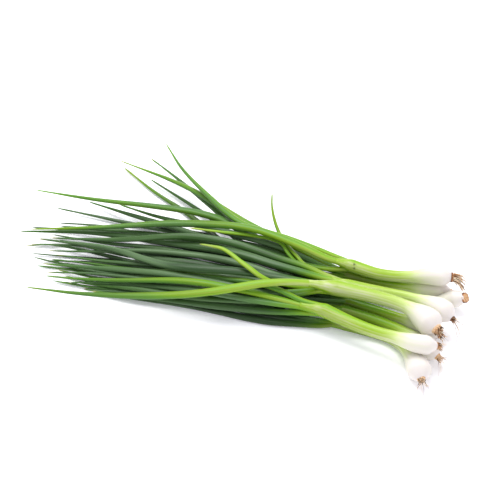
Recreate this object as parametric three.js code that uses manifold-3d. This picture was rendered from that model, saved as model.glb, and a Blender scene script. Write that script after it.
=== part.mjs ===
// A loose bunch of nine spring onions lying on a flat surface, bulbs towards +X and leaf tips towards -X.
// Each onion is three pieces: the white bulb with its shank of leaf sheaths, the green leaves that grow out
// of the shank's mouth, and the tan root plate with its trimmed roots.
// The onions are laid by hand, and a settling loop then presses whatever would cross apart.
// All sizes are in millimetres, +Z is up, and the surface is at z = 0.
import * as THREE from "three";
import { mergeVertices } from "three/addons/utils/BufferGeometryUtils.js";
import Module from "manifold-3d";

const wasm = await Module();
wasm.setup();

// Moves the drawing frame's origin to the middle of the bunch's footprint.
const ORIGIN_SHIFT = { x: 14.4, y: -11.2 };

// Bulb and shank, measured along the onion from the root plate.
const PLATE_RADIUS = 4.6;
const BULB_WIDEST_AT = 10;
const BULB_ENDS_AT = 42;
const SHANK_SIDES = 10;
const SHANK_STATIONS_AT = [0, 1.2, 3.5, 6.5, 10, 14.5, 20, 26, 32, 39, 48, 60, 74];

// The mouth of the shank: a socket in which the leaf bases stand.
const MOUTH_DEPTH = 9;
const MOUTH_LIP = 0.9;
const CLEARANCE = 0.3;
const THROAT_LENGTH = 30;
const THROAT_TIP_RADIUS = 1.6;

// Leaves are flattened tubes that widen a little above the mouth and run out to a point.
const LEAF_SIDES = 6;
const LEAF_FLATNESS = 0.74;
const LEAF_STEP = 22;
const THIN_LEAF_STEP = 12;
const THIN_LEAF_RADIUS = 2;
const LEAF_TIP_RADIUS = 0.6;
const LEAF_BASE_SHARE = 0.8;
const LEAF_WIDENS_UNTIL = 0.3;
const LEAF_TAPERS_FROM = 0.45;
const LEAF_TAPER_POWER = 1.6;
const THIN_LEAF_TAPER_POWER = 3.5;

// Trimmed roots on the root plate.
const PLATE_THICKNESS = 2.4;
const PLATE_SIDES = 9;
const ROOT_COUNT = 7;
const ROOT_LENGTH = { least: 3, most: 6.5 };
const ROOT_RADIUS = 0.8;
const ROOT_TIP_RADIUS = 0.45;
const ROOT_ZONE = 8;

// The settling loop.
const ROUNDS = 520;
const PAIRS_EVERY = 20;
const AIR_GAP = 0.9;
const BULB_SINK = 0.7;
const LEAF_SINK = 0.25;
const SPINE_POINTS = 9;
const HOMING = { plan: 0.03, height: 0.018 };
const DROP = 1.5;
const STIFFNESS = 0.35;
const SAG_KEPT = 0.3;
const SPINE_WEIGHT = 0.25;

const COLOURS = { bulb: 0xf1f0dd, leaves: 0x4d7d45, roots: 0xb5895a };

// Each onion: the points of its spine from the root plate to the shank's mouth, its radii, and its leaves,
// each with its widest half width and the points that it passes from the mouth to its tip.
const ONIONS = [
  {
    name: "onion_1",
    spine: [
      [180, -2.5, 25.5], [169, -3, 25.5], [152.5, -1, 19.5], [135, 0.5, 14.5], [115, 0, 15], [92, 4, 18],
    ],
    radii: { bulb: 8.8, shank: 5.2, mouth: 6.0 },
    leaves: [
      {
        r: 3.9,
        via: [[67, 4, 24], [35, 12, 28], [-9, 20, 30], [-74, 19, 26], [-143, 9, 18], [-211, 3, 8]],
      },
      {
        r: 2.9,
        via: [[70, 12, 20], [20, 20, 24], [-6, 26, 26], [-28, 38, 27], [-83, 94, 26], [-116, 142, 22]],
      },
      { r: 3.2, via: [[66, -2, 14], [46, 4, 16], [5, 18, 14], [-42, 19, 11], [-172, 58, 5]] },
    ],
  },
  {
    name: "onion_2",
    spine: [[180, -2, 9], [169, -2.4, 9], [153, -1.5, 7], [138, 0, 6], [118, 1, 6], [90, 3, 7]],
    radii: { bulb: 8.4, shank: 4.8, mouth: 5.5 },
    leaves: [
      { r: 3.6, via: [[60, 12, 12], [5, 26, 22], [-28, 45, 24], [-79, 81, 20], [-160, 123, 8]] },
      { r: 2.8, via: [[58, 14, 10], [-14, 34, 17], [-49, 61, 17], [-110, 116, 10], [-131, 135, 6]] },
      {
        r: 3.9,
        via: [[56, 8, 14], [0, 25, 20], [-41, 38, 26], [-105, 44, 22], [-160, 51, 14], [-227, 62, 7]],
      },
      { r: 3.0, via: [[56, 2, 8], [10, 8, 8], [-45, 26, 8], [-120, 34, 6], [-199, 43, 4]] },
      {
        r: 3.0,
        via: [
          [60, 1, 13], [34, 8, 17], [12, 14, 19], [-14, 20, 20], [-38, 27, 18], [-94, 39, 14],
          [-140, 56, 8],
        ],
      },
      {
        r: 1.7,
        via: [
          [63, -6, 13], [50, -6, 18], [37, 5, 21], [27, 17, 22], [21, 26, 24], [16, 35, 28], [11, 46, 37],
          [9, 56, 47],
        ],
      },
      {
        r: 1.3,
        via: [
          [63, -6, 11], [50, -5, 16], [37, 2, 19], [28, 12, 21], [19, 16, 23], [7, 17, 26], [-11, 16, 29],
          [-29, 13, 30], [-58, 11, 30],
        ],
      },
    ],
  },
  {
    name: "onion_3",
    spine: [
      [192.5, -15.5, 18.5], [186.5, -12, 13], [172.5, -16.8, 8.2], [154, -20, 7], [124, -17, 6], [94, -12, 6],
    ],
    radii: { bulb: 7.7, shank: 4.8, mouth: 5.5 },
    leaves: [
      {
        r: 2.8,
        via: [[60, -8, 5], [10, -5, 6], [-29, 27, 6], [-76, 62, 5], [-112, 85, 4], [-154, 118, 4]],
      },
      {
        r: 2.6,
        via: [[62, -8, 8], [18, 0, 10], [-14, 23, 10], [-48, 53, 8], [-86, 80, 6], [-123, 105, 4]],
      },
      { r: 3.4, via: [[60, -10, 12], [10, -4, 14], [-60, 6, 12], [-150, 14, 8], [-212, 10, 5]] },
      { r: 3.2, via: [[60, -12, 6], [0, -10, 5], [-80, -2, 4], [-160, -4, 4], [-205, -12, 4]] },
      { r: 3.2, via: [[62, -14, 10], [10, -8, 10], [-70, 12, 8], [-140, 24, 6], [-190, 22, 4]] },
      { r: 3.2, via: [[62, -6, 10], [18, 2, 14], [-48, 9, 16], [-124, 12, 12], [-184, 14, 6]] },
    ],
  },
  {
    name: "onion_4",
    spine: [[184, -48, 21], [174, -41, 23], [150, -29, 19], [125, -24, 17], [92, -22, 18]],
    radii: { bulb: 9.8, shank: 5.2, mouth: 6.0 },
    leaves: [
      {
        r: 4.0,
        via: [[57, -20, 24], [35, -20, 27], [11, -15, 27], [-37, -3, 22], [-132, 10, 12], [-221, 1, 6]],
      },
      { r: 3.6, via: [[60, -26, 18], [30, -26, 22], [0, -20, 22], [-66, -14, 18], [-186, -19, 6]] },
      { r: 3.3, via: [[60, -30, 14], [0, -30, 14], [-80, -22, 10], [-176, -10, 5], [-210, -16, 4]] },
      { r: 3.2, via: [[58, -22, 12], [0, -14, 16], [-70, -4, 16], [-130, -2, 10], [-190, 4, 5]] },
      { r: 3.2, via: [[60, -30, 10], [10, -34, 10], [-60, -30, 8], [-140, -26, 5], [-186, -30, 4]] },
      {
        r: 3.3,
        via: [
          [68, -14, 20], [51, -10, 24], [34, -8, 25], [10, -3, 26], [-14, 2, 26], [-50, 4, 22],
          [-112, -1, 14], [-189, -2, 6],
        ],
      },
    ],
  },
  {
    name: "onion_5",
    spine: [[173, -71, 27], [163, -60, 28], [144, -45, 25], [118, -37.5, 24.5], [84, -34.5, 25.5]],
    radii: { bulb: 11.2, shank: 5.6, mouth: 6.9 },
    leaves: [
      {
        r: 3.8,
        via: [
          [60, -40, 32], [29, -49, 31], [-13, -63, 27], [-62, -70, 20], [-129, -73, 12], [-189, -69, 5],
        ],
      },
      {
        r: 3.4,
        via: [
          [62, -39, 23], [50, -43, 22], [34, -45, 21], [10, -50, 20], [-34, -48, 20], [-117, -41, 14],
          [-184, -37, 6],
        ],
      },
      {
        r: 3.2,
        via: [
          [62, -42, 20], [50, -48, 18], [30, -51, 16], [-10, -52, 14], [-50, -48, 12], [-120, -46, 8],
          [-170, -40, 4],
        ],
      },
      {
        r: 3.8,
        via: [[51, -33, 25], [19, -36, 25], [-28, -42, 26], [-71, -36, 22], [-124, -17, 14], [-200, -5, 6]],
      },
      {
        r: 1.9,
        via: [
          [52, -38, 24], [35, -41, 25], [23, -43, 28], [10, -38, 34], [-5, -29, 37], [-20, -18, 37],
          [-43, -12, 33],
        ],
      },
    ],
  },
  {
    name: "onion_6",
    spine: [[176, -58, 9], [163, -52, 9], [141, -43, 7], [123, -37, 6], [95, -31, 6]],
    radii: { bulb: 9.0, shank: 4.8, mouth: 5.6 },
    leaves: [
      { r: 3.2, via: [[60, -30, 6], [0, -34, 6], [-80, -32, 5], [-150, -34, 4], [-196, -28, 4]] },
      { r: 3.2, via: [[60, -34, 10], [0, -42, 10], [-70, -44, 8], [-130, -38, 5], [-171, -34, 4]] },
      { r: 3.2, via: [[58, -26, 8], [0, -20, 8], [-70, -14, 6], [-140, -18, 4], [-200, -24, 4]] },
      { r: 3.4, via: [[60, -28, 12], [0, -26, 16], [-60, -22, 16], [-120, -14, 10], [-180, -2, 5]] },
      { r: 3.0, via: [[60, -36, 5], [0, -44, 4], [-60, -50, 4], [-120, -50, 4], [-160, -46, 4]] },
    ],
  },
  {
    name: "onion_7",
    spine: [[176, -83, 9], [166, -74, 9], [148, -59, 7], [125, -50, 7], [93, -43, 7]],
    radii: { bulb: 9.2, shank: 5.0, mouth: 5.6 },
    leaves: [
      { r: 3.1, via: [[60, -48, 6.5], [0, -50, 7], [-60, -52, 5], [-120, -56, 4], [-168, -54, 4]] },
      { r: 3.4, via: [[60, -50, 10], [0, -52, 12], [-60, -48, 12], [-130, -44, 8], [-178, -46, 4]] },
      { r: 3.2, via: [[58, -44, 8], [0, -46, 8], [-70, -40, 6], [-140, -34, 4], [-190, -38, 4]] },
      { r: 3.2, via: [[60, -51, 12], [0, -54, 14], [-60, -56, 10], [-110, -54, 6], [-150, -52, 4]] },
      { r: 3.4, via: [[60, -44, 12], [0, -38, 18], [-60, -32, 18], [-120, -30, 10], [-176, -22, 5]] },
    ],
  },
  {
    name: "onion_8",
    spine: [
      [174, -84, 23], [162, -87.5, 25], [152, -86, 24], [141, -80.5, 20], [128, -76, 18.5],
      [104, -68, 18.5], [78, -59, 20.5],
    ],
    radii: { bulb: 8.3, shank: 5.2, mouth: 6.4 },
    leaves: [
      {
        r: 3.4,
        via: [[50, -58, 22], [20, -58, 24], [-13, -58, 22], [-71, -54, 14], [-140, -53, 8], [-178, -50, 4]],
      },
      { r: 3.2, via: [[50, -57, 17], [10, -56, 15], [-33, -55, 13.5], [-113, -55, 6], [-153, -57, 4]] },
      { r: 3.2, via: [[50, -58, 12], [10, -54, 10], [-31, -53, 9], [-84, -57, 6], [-138, -60, 4]] },
      {
        r: 3.2,
        via: [[54, -54, 22], [30, -48, 24], [0, -42, 20], [-60, -36, 16], [-130, -30, 8], [-180, -30, 4]],
      },
      { r: 3.2, via: [[50, -60, 14], [0, -57, 12], [-50, -57, 9], [-90, -61, 6], [-130, -62, 4]] },
    ],
  },
  {
    name: "onion_9",
    spine: [
      [166, -112, 10], [163, -100, 10], [156, -84, 9], [147, -73, 7], [136, -66, 7], [122, -62, 6],
      [98, -58, 6],
    ],
    radii: { bulb: 10.4, shank: 5.0, mouth: 5.8 },
    leaves: [
      { r: 3.4, via: [[66, -59, 4], [32, -54, 3], [-23, -53, 3], [-87, -59, 3], [-127, -60, 3]] },
      { r: 3.3, via: [[66, -57, 7], [20, -53, 7], [-40, -51, 6], [-100, -56, 4], [-140, -56, 4]] },
      { r: 3.2, via: [[66, -57, 5], [10, -48, 4], [-60, -48, 4], [-120, -54, 4], [-160, -53, 4]] },
      { r: 3.0, via: [[62, -58, 7], [10, -54, 8], [-50, -54, 8], [-100, -61, 5], [-130, -61, 4]] },
    ],
  },
];

// Half width of bulb and shank at a distance from the root plate.
function spineRadius(along, length, radii) {
  if (along < BULB_WIDEST_AT) {
    const share = Math.max(0, along) / BULB_WIDEST_AT;
    return PLATE_RADIUS + (radii.bulb - PLATE_RADIUS) * Math.sin((share * Math.PI) / 2);
  }
  if (along < BULB_ENDS_AT) {
    const share = (along - BULB_WIDEST_AT) / (BULB_ENDS_AT - BULB_WIDEST_AT);
    return radii.shank + (radii.bulb - radii.shank) * 0.5 * (1 + Math.cos(share * Math.PI));
  }
  const share = (along - BULB_ENDS_AT) / (length - BULB_ENDS_AT);
  return radii.shank + (radii.mouth - radii.shank) * share * share;
}

// Half width of a leaf at a share of its length from the mouth.
function leafRadius(share, widest) {
  const opening = LEAF_BASE_SHARE + (1 - LEAF_BASE_SHARE) * Math.min(1, share / LEAF_WIDENS_UNTIL);
  const run = Math.max(0, (share - LEAF_TAPERS_FROM) / (1 - LEAF_TAPERS_FROM));
  const power = widest < THIN_LEAF_RADIUS ? THIN_LEAF_TAPER_POWER : LEAF_TAPER_POWER;
  return Math.max(LEAF_TIP_RADIUS, widest * opening * (1 - run ** power));
}

// Points at even distances along a smooth curve through the given points, and the curve's length.
function evenPoints(through, count) {
  const curve = new THREE.CatmullRomCurve3(through, false, "catmullrom", 0.5);
  curve.arcLengthDivisions = 20 * (through.length - 1);
  return { points: curve.getSpacedPoints(count - 1), length: curve.getLength() };
}

// Every rod of the bunch as it is first laid: one spine and several leaves for each onion.
function layRods() {
  const rods = [];
  for (const onion of ONIONS) {
    const through = onion.spine.map((p) => new THREE.Vector3(...p));
    const { points, length } = evenPoints(through, SPINE_POINTS);
    const radii = points.map((_, k) => spineRadius((length * k) / (SPINE_POINTS - 1), length, onion.radii));
    const rootEnd = points[0].clone().sub(points[1]).setLength(ROOT_ZONE).add(points[0]);
    points.unshift(rootEnd);
    radii.unshift(PLATE_RADIUS);
    const spine = { onion, leaf: null, points, radii, length };
    rods.push(spine);
    onion.spineRod = spine;
  }
  for (const onion of ONIONS) {
    const mouth = onion.spineRod.points.at(-1);
    onion.leafRods = onion.leaves.map((leaf) => {
      const through = [mouth, ...leaf.via.map((p) => new THREE.Vector3(...p))];
      const step = leaf.r < THIN_LEAF_RADIUS ? THIN_LEAF_STEP : LEAF_STEP;
      const count = Math.round(evenPoints(through, 2).length / step) + 1;
      const { points, length } = evenPoints(through, count);
      const radii = points.map((_, k) => leafRadius(k / (count - 1), leaf.r));
      const rod = { onion, leaf, points, radii, length };
      rods.push(rod);
      return rod;
    });
  }
  return rods;
}

const clamp01 = (x) => Math.min(1, Math.max(0, x));

// Shares along two stretches at which they come closest, leaning a little towards their middles so that
// stretches that run side by side keep a steady answer.
const MIDDLE_PULL = 0.02;
function closestShares(a, b) {
  const u = a.to.clone().sub(a.from);
  const v = b.to.clone().sub(b.from);
  const w = a.from.clone().sub(b.from);
  const uu = u.dot(u);
  const vv = v.dot(v);
  const uuPulled = uu * (1 + MIDDLE_PULL);
  const vvPulled = vv * (1 + MIDDLE_PULL);
  const uv = u.dot(v);
  const uw = u.dot(w) - (uu * MIDDLE_PULL) / 2;
  const vw = v.dot(w) + (vv * MIDDLE_PULL) / 2;
  let s = clamp01((uv * vw - uw * vvPulled) / (uuPulled * vvPulled - uv * uv));
  const t = clamp01((uv * s + vw) / vvPulled);
  s = clamp01((uv * t - uw) / uuPulled);
  return { s, t };
}

// Pairs of stretches near enough to touch. Stretches of one onion count only well above its mouth.
const NEAR_MOUTH = 3;
function nearPairs(stretches) {
  const pairs = [];
  for (let i = 0; i < stretches.length; i += 1) {
    const a = stretches[i];
    const middle = a.from.clone().add(a.to).multiplyScalar(0.5);
    for (let j = i + 1; j < stretches.length; j += 1) {
      const b = stretches[j];
      if (a.rod === b.rod) continue;
      const together = a.rod.onion === b.rod.onion;
      const atMouth = a.index < NEAR_MOUTH || b.index < NEAR_MOUTH || !a.rod.leaf || !b.rod.leaf;
      if (together && atMouth) continue;
      const apart = Math.hypot(
        middle.x - (b.from.x + b.to.x) / 2,
        middle.y - (b.from.y + b.to.y) / 2,
        middle.z - (b.from.z + b.to.z) / 2,
      );
      if (apart < a.reach + b.reach) pairs.push([a, b]);
    }
  }
  return pairs;
}

// Pulls every point towards where it was laid and a little down, keeps the rods smooth and of their length,
// pushes rods that cross apart, and keeps all of them above the surface.
function settle(rods) {
  const nodes = [];
  const stretches = [];
  const bends = [];
  for (const rod of rods) {
    rod.nodes = rod.points.map((point, k) => {
      const node = { point, radius: rod.radii[k], home: point.clone(), push: new THREE.Vector3(), hits: 0 };
      node.weight = rod.leaf ? 1 : SPINE_WEIGHT;
      node.floor = rod.leaf ? node.radius * LEAF_FLATNESS - LEAF_SINK : node.radius - BULB_SINK;
      nodes.push(node);
      return node;
    });
    for (let k = 0; k + 1 < rod.nodes.length; k += 1) {
      const [start, end] = [rod.nodes[k], rod.nodes[k + 1]];
      const length = start.point.distanceTo(end.point);
      const reach = length / 2 + Math.max(start.radius, end.radius) + 3;
      stretches.push({ rod, index: k, start, end, from: start.point, to: end.point, length, reach });
    }
    for (let k = 1; k + 1 < rod.nodes.length; k += 1) {
      const [before, at, after] = [rod.nodes[k - 1], rod.nodes[k], rod.nodes[k + 1]];
      const bow = before.point.clone().add(after.point).multiplyScalar(0.5).sub(at.point);
      bow.z *= SAG_KEPT;
      bends.push({ before, at, after, bow });
    }
  }
  const applyPushes = (share) => {
    for (const node of nodes) {
      node.point.addScaledVector(node.push, share);
      node.push.set(0, 0, 0);
    }
  };
  const step = new THREE.Vector3();
  let pairs = [];
  for (let round = 0; round < ROUNDS; round += 1) {
    for (const { point, home } of nodes) {
      point.x += (home.x - point.x) * HOMING.plan;
      point.y += (home.y - point.y) * HOMING.plan;
      point.z += (home.z - DROP - point.z) * HOMING.height;
    }
    for (const { before, at, after, bow } of bends) {
      step.copy(before.point).add(after.point).multiplyScalar(0.5).sub(at.point).sub(bow);
      at.push.addScaledVector(step, STIFFNESS);
      before.push.addScaledVector(step, -STIFFNESS / 2);
      after.push.addScaledVector(step, -STIFFNESS / 2);
    }
    applyPushes(0.5);
    for (const { start, end, length } of stretches) {
      step.copy(end.point).sub(start.point);
      const now = step.length();
      step.multiplyScalar(((now - length) / now / 2) * 0.8);
      start.push.add(step);
      end.push.sub(step);
    }
    applyPushes(0.5);
    if (round % PAIRS_EVERY === 0) pairs = nearPairs(stretches);
    for (const node of nodes) node.hits = 0;
    for (const [a, b] of pairs) {
      const { s, t } = closestShares(a, b);
      const onA = a.from.clone().lerp(a.to, s);
      step.copy(b.from).lerp(b.to, t).sub(onA);
      const apart = step.length() + 1e-9;
      const wanted =
        a.start.radius * (1 - s) + a.end.radius * s + b.start.radius * (1 - t) + b.end.radius * t + AIR_GAP;
      if (apart >= wanted) continue;
      const weights = a.start.weight + b.start.weight;
      step.multiplyScalar((1.3 * (wanted - apart)) / apart / weights);
      for (const [node, share, way] of [
        [a.start, 1 - s, -a.start.weight],
        [a.end, s, -a.end.weight],
        [b.start, 1 - t, b.start.weight],
        [b.end, t, b.end.weight],
      ]) {
        node.push.addScaledVector(step, share * way);
        node.hits += share;
      }
    }
    for (const node of nodes) {
      node.point.addScaledVector(node.push, 1 / Math.max(1, node.hits));
      node.push.set(0, 0, 0);
      node.point.z = Math.max(node.point.z, node.floor);
    }
    for (const rod of rods) if (rod.leaf) rod.points[0].copy(rod.onion.spineRod.points.at(-1));
  }
}

// Points and crosswise directions at chosen stations of a route: side lies across it and up stands off it.
function stationsOf(points) {
  const count = points.length;
  let up = new THREE.Vector3(0, 0, 1);
  return points.map((centre, k) => {
    const ahead = points[Math.min(k + 1, count - 1)].clone().sub(points[Math.max(k - 1, 0)]).normalize();
    up = up.clone().addScaledVector(ahead, -up.dot(ahead)).normalize();
    const side = ahead.clone().cross(up);
    return { centre, ahead, up, side };
  });
}

// A closed tube: a cylinder whose rings are set on the stations, each at its own radius.
function bentTube(stations, radiusAt, sides, flatness = 1) {
  const geometry = new THREE.CylinderGeometry(1, 1, 1, sides, stations.length - 1);
  geometry.deleteAttribute("normal");
  geometry.deleteAttribute("uv");
  const position = geometry.getAttribute("position");
  const vertex = new THREE.Vector3();
  for (let i = 0; i < position.count; i += 1) {
    vertex.fromBufferAttribute(position, i);
    const k = Math.round((vertex.y + 0.5) * (stations.length - 1));
    const { centre, up, side } = stations[k];
    const radius = radiusAt(k);
    const placed = centre.clone();
    placed.addScaledVector(side, vertex.x * radius);
    placed.addScaledVector(up, vertex.z * radius * flatness);
    position.setXYZ(i, placed.x, placed.y, placed.z);
  }
  return solidOf(mergeVertices(geometry, 1e-4));
}

function solidOf(geometry) {
  return new wasm.Manifold(
    new wasm.Mesh({
      numProp: 3,
      vertProperties: geometry.getAttribute("position").array,
      triVerts: new Uint32Array(geometry.getIndex().array),
    }),
  );
}

function geometryOf(solid) {
  const mesh = solid.getMesh();
  const geometry = new THREE.BufferGeometry();
  geometry.setAttribute("position", new THREE.BufferAttribute(new Float32Array(mesh.vertProperties), 3));
  geometry.setIndex(new THREE.BufferAttribute(new Uint32Array(mesh.triVerts), 1));
  geometry.computeVertexNormals();
  return geometry;
}

// The surface under the bunch, which presses a small flat spot on whatever rests on it.
const surface = (() => {
  const block = new THREE.BoxGeometry(600, 400, 20);
  block.translate(0, 0, -10);
  block.deleteAttribute("normal");
  block.deleteAttribute("uv");
  return solidOf(mergeVertices(block, 1e-4));
})();

// Reads a point off an onion's spine at a distance from its root plate.
function spineReader(onion) {
  const { points } = onion.spineRod;
  const curve = new THREE.CatmullRomCurve3(points.slice(1), false, "catmullrom", 0.5);
  const length = curve.getLength();
  return { length, at: (along) => curve.getPointAt(clamp01(along / length)) };
}

function bulbAndShank(onion, reader) {
  const { length } = reader;
  const places = [...SHANK_STATIONS_AT, length - MOUTH_DEPTH, length];
  const body = bentTube(
    stationsOf(places.map(reader.at)),
    (k) => spineRadius(places[k], length, onion.radii),
    SHANK_SIDES,
  );
  const socketPlaces = [length - MOUTH_DEPTH, length - MOUTH_DEPTH / 2, length];
  const socketPoints = socketPlaces.map(reader.at);
  const beyond = socketPoints[2].clone().sub(socketPoints[1]).multiplyScalar(0.5).add(socketPoints[2]);
  const socketRadius = onion.radii.mouth - MOUTH_LIP;
  const socket = bentTube(
    stationsOf([...socketPoints, beyond]),
    (k) => (k === 0 ? socketRadius * 0.8 : socketRadius),
    SHANK_SIDES,
  );
  return body.subtract(socket).subtract(surface);
}

// The leaves of one onion, joined where they stand in the mouth by the throat of their youngest sheaths.
function leavesOf(onion, reader) {
  const { length } = reader;
  const mouth = reader.at(length);
  const foot = reader.at(length - MOUTH_DEPTH + 2 * CLEARANCE);
  const middle = reader.at(length - MOUTH_DEPTH / 2);
  const onward = new THREE.Vector3();
  for (const rod of onion.leafRods) onward.add(rod.points[2]);
  onward.multiplyScalar(1 / onion.leafRods.length).sub(mouth).setLength(THROAT_LENGTH);
  const throatPoints = [foot, middle, mouth];
  for (const share of [1 / 3, 1]) throatPoints.push(mouth.clone().addScaledVector(onward, share));
  const inSocket = onion.radii.mouth - MOUTH_LIP - CLEARANCE;
  const throatRadii = [inSocket * 0.7, inSocket, inSocket, inSocket * 0.85, THROAT_TIP_RADIUS];
  let joined = bentTube(stationsOf(throatPoints), (k) => throatRadii[k], SHANK_SIDES);
  for (const rod of onion.leafRods) {
    joined = joined.add(bentTube(stationsOf(rod.points), (k) => rod.radii[k], LEAF_SIDES, LEAF_FLATNESS));
  }
  return joined.subtract(surface);
}

// A repeatable draw of numbers from 0 to 1.
function seededDraw(seed) {
  let state = seed;
  return () => {
    state = (state * 1664525 + 1013904223) % 4294967296;
    return state / 4294967296;
  };
}

// The root plate, with its trimmed roots set round it on a spiral and bent outwards.
const GOLDEN_TURN = Math.PI * (3 - Math.sqrt(5));
function rootsOf(onion, reader, seed) {
  const draw = seededDraw(seed);
  const base = reader.at(0);
  const out = base.clone().sub(reader.at(2)).normalize();
  const back = (distance) => base.clone().addScaledVector(out, distance);
  const plateStations = stationsOf([back(CLEARANCE), back(PLATE_THICKNESS * 0.6), back(PLATE_THICKNESS)]);
  const plateRadii = [PLATE_RADIUS - 0.3, PLATE_RADIUS - 0.7, PLATE_RADIUS * 0.55];
  let joined = bentTube(plateStations, (k) => plateRadii[k], PLATE_SIDES);
  const { up, side } = plateStations[0];
  for (let n = 0; n < ROOT_COUNT; n += 1) {
    const turn = n * GOLDEN_TURN;
    const off = (PLATE_RADIUS - 1.6) * Math.sqrt((n + 0.5) / ROOT_COUNT);
    const outward = side.clone().multiplyScalar(Math.cos(turn)).addScaledVector(up, Math.sin(turn));
    const long = THREE.MathUtils.lerp(ROOT_LENGTH.least, ROOT_LENGTH.most, draw());
    const spread = off * (0.1 + 0.5 * draw());
    const points = [0, 0.5, 1].map((share) =>
      back(CLEARANCE + 0.4 + long * share).addScaledVector(outward, off + spread * share * share),
    );
    const radii = [ROOT_RADIUS, ROOT_RADIUS * 0.85, ROOT_TIP_RADIUS];
    joined = joined.add(bentTube(stationsOf(points), (k) => radii[k], 3));
  }
  return joined.subtract(surface);
}

const bunch = new THREE.Group();
bunch.name = "spring_onion_bunch";
bunch.position.set(ORIGIN_SHIFT.x, ORIGIN_SHIFT.y, 0);

function addPiece(name, solid, colour, roughness) {
  const material = new THREE.MeshStandardMaterial({ color: colour, roughness, metalness: 0 });
  const mesh = new THREE.Mesh(geometryOf(solid), material);
  mesh.name = name;
  bunch.add(mesh);
}

settle(layRods());
ONIONS.forEach((onion, index) => {
  const reader = spineReader(onion);
  addPiece(`${onion.name}_bulb`, bulbAndShank(onion, reader), COLOURS.bulb, 0.35);
  addPiece(`${onion.name}_leaves`, leavesOf(onion, reader), COLOURS.leaves, 0.45);
  addPiece(`${onion.name}_roots`, rootsOf(onion, reader, index + 1), COLOURS.roots, 0.85);
});

export default bunch;
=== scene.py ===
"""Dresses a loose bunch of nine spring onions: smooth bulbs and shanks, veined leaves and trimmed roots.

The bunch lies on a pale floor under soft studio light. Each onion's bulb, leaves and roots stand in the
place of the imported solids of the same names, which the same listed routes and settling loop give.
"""

import functools
import math
from collections import namedtuple

import bmesh
import bpy
import numpy as np
from mathutils import Matrix, Vector


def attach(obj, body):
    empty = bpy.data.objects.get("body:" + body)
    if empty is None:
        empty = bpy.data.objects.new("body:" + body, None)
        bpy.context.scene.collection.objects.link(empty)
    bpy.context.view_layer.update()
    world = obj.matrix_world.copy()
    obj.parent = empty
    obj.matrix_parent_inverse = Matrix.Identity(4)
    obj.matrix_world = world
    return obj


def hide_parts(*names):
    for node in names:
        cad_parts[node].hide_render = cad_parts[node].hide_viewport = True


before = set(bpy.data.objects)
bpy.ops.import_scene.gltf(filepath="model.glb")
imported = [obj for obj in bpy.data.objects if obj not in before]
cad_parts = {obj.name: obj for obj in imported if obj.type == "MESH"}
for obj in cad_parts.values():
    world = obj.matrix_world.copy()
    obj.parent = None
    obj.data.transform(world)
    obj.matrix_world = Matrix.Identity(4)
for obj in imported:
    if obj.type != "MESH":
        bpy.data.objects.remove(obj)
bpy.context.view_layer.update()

bl_info = {
    "name": "Spring Onion Bunch",
    "version": (1, 0, 0),
    "blender": (4, 5, 0),
    "location": "3D View > Sidebar > Spring Onions",
    "description": "Dresses a packed bunch of spring onions and its studio stage",
    "category": "Object",
}

MM = 0.001
BODY = "root"

# The drawing frame's origin, moved to the middle of the bunch's footprint.
ORIGIN_SHIFT = np.array([14.4, -11.2, 0.0])

# Bulb and shank, in millimetres: the root plate's radius, where up the onion the bulb is widest and ends,
# and how far the roots reach beyond the plate.
PLATE_RADIUS = 4.6
BULB_WIDEST_AT = 10.0
BULB_ENDS_AT = 42.0
ROOT_ZONE = 8.0

# Leaves, in millimetres and in shares of their length from the mouth.
LEAF_FLATNESS = 0.74
LEAF_STEP = 22.0
THIN_LEAF_STEP = 12.0
THIN_LEAF_RADIUS = 2.0
LEAF_TIP_RADIUS = 0.6
LEAF_BASE_SHARE = 0.8
LEAF_WIDENS_UNTIL = 0.3
LEAF_TAPERS_FROM = 0.45
LEAF_TAPER_POWER = 1.6
THIN_LEAF_TAPER_POWER = 3.5

# The settling loop, as for the solids: how long it works, how far rods keep apart and how firm they are.
ROUNDS = 520
PAIRS_EVERY = 20
AIR_GAP = 0.9
BULB_SINK = 0.7
LEAF_SINK = 0.25
SPINE_POINTS = 9
HOMING = np.array([0.03, 0.03, 0.018])
DROP = 1.5
STIFFNESS = 0.35
SAG_KEPT = 0.3
SPINE_WEIGHT = 0.25
MIDDLE_PULL = 0.02
NEAR_MOUTH = 3
REACH_MARGIN = 3
EASE = 0.5
LENGTH_HELD = 0.8
OVERLAP_PUSH = 1.3
HAIRBREADTH = 1e-9

# Millimetres over which a spine's direction is taken at its root plate and at its mouth.
BASE_RUN = 2
MOUTH_RUN = 3

# A leaf leaves this much of the mouth's wall outside it, in millimetres, and has gone these shares of its
# way out at its start inside the shank, half way up from there, and in the mouth.
MOUTH_WALL = 0.4
WAY_OUT = [0.35, 0.8, 1.0]

# How far over a leaf's upper side its channel spreads, as a share of the leaf's half width.
CHANNEL_SPREAD = 0.5

# Where a random wave may start, in radians.
WAVE_START = (0, 6)

Leaf = namedtuple("Leaf", "half_width ripeness via")
Onion = namedtuple("Onion", "name spine bulb shank mouth shank_green leaves")

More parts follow.
